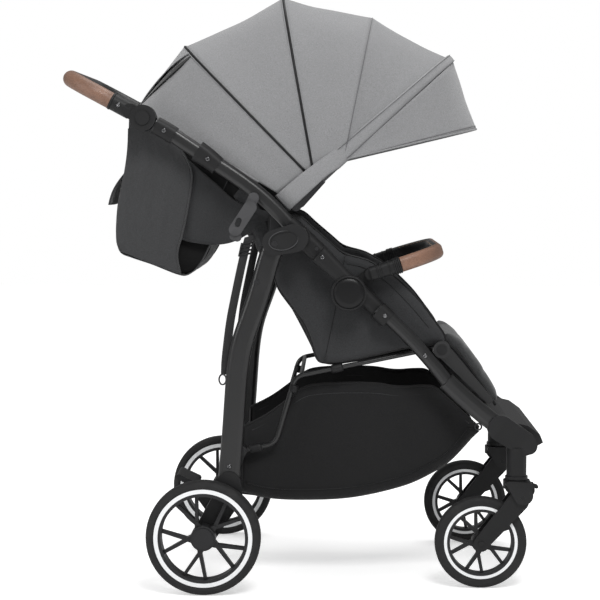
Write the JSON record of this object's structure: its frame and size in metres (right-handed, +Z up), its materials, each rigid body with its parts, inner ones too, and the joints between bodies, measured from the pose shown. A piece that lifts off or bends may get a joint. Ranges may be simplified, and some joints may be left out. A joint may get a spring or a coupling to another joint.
{
  "type": "folding stroller",
  "caption": "Folding side-frame stroller with swivel front casters, padded seat, fan canopy, bumper bar, basket and height-adjustable handle.",
  "frame": {"origin": "on the floor, midway along the overall length and width", "axes": "+X forward, +Y to the stroller's left, +Z up"},
  "size_m": [0.8934, 0.606, 1.1033],
  "materials": {
    "frame_black": "satin powder coat",
    "moulding": "fine matte moulded plastic",
    "moulding_grey": "matte grey moulded plastic",
    "steel_dark": "dark burnished steel",
    "tyre": "foam tyre",
    "rim": "satin moulded rim",
    "ring_white": "glossy white trim",
    "leather": "grained tan leather",
    "seat_fabric": "charcoal woven fabric",
    "canopy_fabric": "grey melange woven fabric",
    "basket_fabric": "black fabric",
    "webbing": "woven webbing"
  },
  "bodies": {
    "rear_frame": {"rear_legs": "frame_black", "wheel_housings": "moulding", "rear_axle": "frame_black", "leg_fasteners": "steel_dark", "side_straps": "webbing", "basket": "basket_fabric"},
    "brake_pedal": {"brake_pedal": "moulding"},
    "upper_frame": {"upper_tubes": "frame_black", "fold_housings": "moulding", "fold_pins": "steel_dark", "front_bosses": "moulding", "canopy_clamps": "moulding", "latch_plates": "moulding_grey", "upper_rivets": "steel_dark", "hub_bases": "moulding", "rear_pocket": "seat_fabric"},
    "handle": {"handle_bar": "frame_black", "handle_grip": "leather", "hub_covers": "moulding"},
    "front_frame": {"front_arms": "moulding", "front_tubes": "frame_black", "front_blocks": "moulding", "footrest": "moulding"},
    "seat_link": {"link_frame": "frame_black", "seat_pad": "seat_fabric", "seat_sides": "seat_fabric"},
    "backrest": {"backrest": "seat_fabric", "harness": "webbing"},
    "legrest": {"legrest_frame": "frame_black", "legrest_pad": "seat_fabric"},
    "bumper": {"bumper_bar": "moulding", "bumper_cover": "leather"},
    "canopy_rear": {"canopy_bow_rear": "steel_dark", "canopy_fabric": "canopy_fabric"},
    "canopy_mid": {"canopy_bow_mid": "steel_dark"},
    "canopy_top": {"canopy_bow_top": "steel_dark"},
    "canopy_front": {"canopy_bow_front": "steel_dark"},
    "visor": {"canopy_visor": "canopy_fabric"},
    "rear_wheel_right": {"rear_tyre_right": "tyre", "rear_rim_right": "rim", "rear_ring_right": "ring_white"},
    "caster_right": {"caster_head_right": "moulding"},
    "fork_right": {"fork_right": "moulding"},
    "front_wheel_right": {"front_tyre_right": "tyre", "front_rim_right": "rim", "front_ring_right": "ring_white"},
    "swivel_lever_right": {"swivel_lever_right": "moulding"},
    "hub_button_right": {"hub_button_right": "moulding"},
    "legrest_button_right": {"legrest_button_right": "moulding"},
    "rear_wheel_left": {"rear_tyre_left": "tyre", "rear_rim_left": "rim", "rear_ring_left": "ring_white"},
    "caster_left": {"caster_head_left": "moulding"},
    "fork_left": {"fork_left": "moulding"},
    "front_wheel_left": {"front_tyre_left": "tyre", "front_rim_left": "rim", "front_ring_left": "ring_white"},
    "swivel_lever_left": {"swivel_lever_left": "moulding"},
    "hub_button_left": {"hub_button_left": "moulding"},
    "legrest_button_left": {"legrest_button_left": "moulding"}
  },
  "joints": [
    {"name": "upper_fold", "type": "hinge", "parent": "rear_frame", "child": "upper_frame", "pos_m": [-0.04985, 0, 0.6394], "axis": [0, -1, 0], "range_deg": [0, 93], "deforming": ["basket", "rear_pocket", "side_straps"]},
    {"name": "front_fold", "type": "hinge", "parent": "upper_frame", "child": "front_frame", "pos_m": [0.08545, 0, 0.548], "axis": [0, -1, 0], "range_deg": [-144.32, 0]},
    {"name": "link_fold", "type": "hinge", "parent": "rear_frame", "child": "seat_link", "pos_m": [-0.11385, 0, 0.2482], "axis": [0, -1, 0], "range_deg": [0, 38.54], "deforming": ["seat_pad", "seat_sides"]},
    {"name": "brake_pedal_turn", "type": "hinge", "parent": "rear_frame", "child": "brake_pedal", "pos_m": [-0.17925, 0, 0.105], "axis": [0, -1, 0], "range_deg": [0, 22]},
    {"name": "handle_height", "type": "hinge", "parent": "upper_frame", "child": "handle", "pos_m": [-0.29225, 0, 0.868], "axis": [0, 1, 0], "range_deg": [-60, 45]},
    {"name": "backrest_recline", "type": "hinge", "parent": "upper_frame", "child": "backrest", "pos_m": [0.04275, 0, 0.424], "axis": [0, -1, 0], "range_deg": [0, 35], "deforming": ["backrest", "harness"]},
    {"name": "legrest_lift", "type": "hinge", "parent": "front_frame", "child": "legrest", "pos_m": [0.25775, 0, 0.441], "axis": [0, -1, 0], "range_deg": [0, 55], "deforming": ["legrest_pad"]},
    {"name": "bumper_swing", "type": "hinge", "parent": "upper_frame", "child": "bumper", "pos_m": [0.08545, 0, 0.548], "axis": [0, -1, 0], "range_deg": [0, 30]},
    {"name": "canopy_rear_turn", "type": "hinge", "parent": "upper_frame", "child": "canopy_rear", "pos_m": [-0.01185, 0, 0.7086], "axis": [0, -1, 0], "range_deg": [0, 12], "deforming": ["canopy_fabric"]},
    {"name": "canopy_mid_turn", "type": "hinge", "parent": "canopy_rear", "child": "canopy_mid", "pos_m": [-0.01185, 0, 0.7086], "axis": [0, -1, 0], "range_deg": [0, 27]},
    {"name": "canopy_top_turn", "type": "hinge", "parent": "canopy_mid", "child": "canopy_top", "pos_m": [-0.01185, 0, 0.7086], "axis": [0, -1, 0], "range_deg": [0, 21]},
    {"name": "canopy_fold", "type": "hinge", "parent": "canopy_top", "child": "canopy_front", "pos_m": [-0.01185, 0, 0.7086], "axis": [0, -1, 0], "range_deg": [0, 21]},
    {"name": "visor_flip", "type": "hinge", "parent": "canopy_front", "child": "visor", "pos_m": [0.28275, 0, 0.98], "axis": [0, -1, 0], "range_deg": [-8, 40], "deforming": ["canopy_visor"]},
    {"name": "rear_wheel_right_spin", "type": "hinge", "parent": "rear_frame", "child": "rear_wheel_right", "pos_m": [-0.17925, -0.285, 0.105], "axis": [0, -1, 0], "continuous": true},
    {"name": "caster_right_swivel", "type": "hinge", "parent": "front_frame", "child": "caster_right", "pos_m": [0.39575, -0.215, 0.2], "axis": [0, 0, 1], "continuous": true},
    {"name": "fork_right_spring", "type": "hinge", "parent": "caster_right", "child": "fork_right", "pos_m": [0.40525, -0.215, 0.1716], "axis": [0, -1, 0], "range_deg": [-7, 0], "stiffness_Nm_per_rad": 60},
    {"name": "front_wheel_right_spin", "type": "hinge", "parent": "fork_right", "child": "front_wheel_right", "pos_m": [0.33025, -0.215, 0.085], "axis": [0, -1, 0], "continuous": true},
    {"name": "swivel_lever_right_slide", "type": "slide", "parent": "caster_right", "child": "swivel_lever_right", "axis": [1, 0, 0], "range_m": [0, 0.005]},
    {"name": "hub_button_right_press", "type": "slide", "parent": "handle", "child": "hub_button_right", "axis": [0, 1, 0], "range_m": [0, 0.002]},
    {"name": "legrest_button_right_press", "type": "slide", "parent": "legrest", "child": "legrest_button_right", "axis": [0, 1, 0], "range_m": [0, 0.002]},
    {"name": "rear_wheel_left_spin", "type": "hinge", "parent": "rear_frame", "child": "rear_wheel_left", "pos_m": [-0.17925, 0.285, 0.105], "axis": [0, -1, 0], "continuous": true},
    {"name": "caster_left_swivel", "type": "hinge", "parent": "front_frame", "child": "caster_left", "pos_m": [0.39575, 0.215, 0.2], "axis": [0, 0, 1], "continuous": true},
    {"name": "fork_left_spring", "type": "hinge", "parent": "caster_left", "child": "fork_left", "pos_m": [0.40525, 0.215, 0.1716], "axis": [0, -1, 0], "range_deg": [-7, 0], "stiffness_Nm_per_rad": 60},
    {"name": "front_wheel_left_spin", "type": "hinge", "parent": "fork_left", "child": "front_wheel_left", "pos_m": [0.33025, 0.215, 0.085], "axis": [0, -1, 0], "continuous": true},
    {"name": "swivel_lever_left_slide", "type": "slide", "parent": "caster_left", "child": "swivel_lever_left", "axis": [1, 0, 0], "range_m": [0, 0.005]},
    {"name": "hub_button_left_press", "type": "slide", "parent": "handle", "child": "hub_button_left", "axis": [0, -1, 0], "range_m": [0, 0.002]},
    {"name": "legrest_button_left_press", "type": "slide", "parent": "legrest", "child": "legrest_button_left", "axis": [0, -1, 0], "range_m": [0, 0.002]}
  ],
  "couplings": [
    {"joint": "front_fold", "follows": "upper_fold", "ratio": -1.5465},
    {"joint": "link_fold", "follows": "upper_fold", "ratio": 0.40903},
    {"joint": "canopy_rear_turn", "follows": "canopy_fold", "ratio": 0.56667},
    {"joint": "canopy_mid_turn", "follows": "canopy_fold", "ratio": 1.281},
    {"joint": "canopy_top_turn", "follows": "canopy_fold", "ratio": 0.99524}
  ]
}
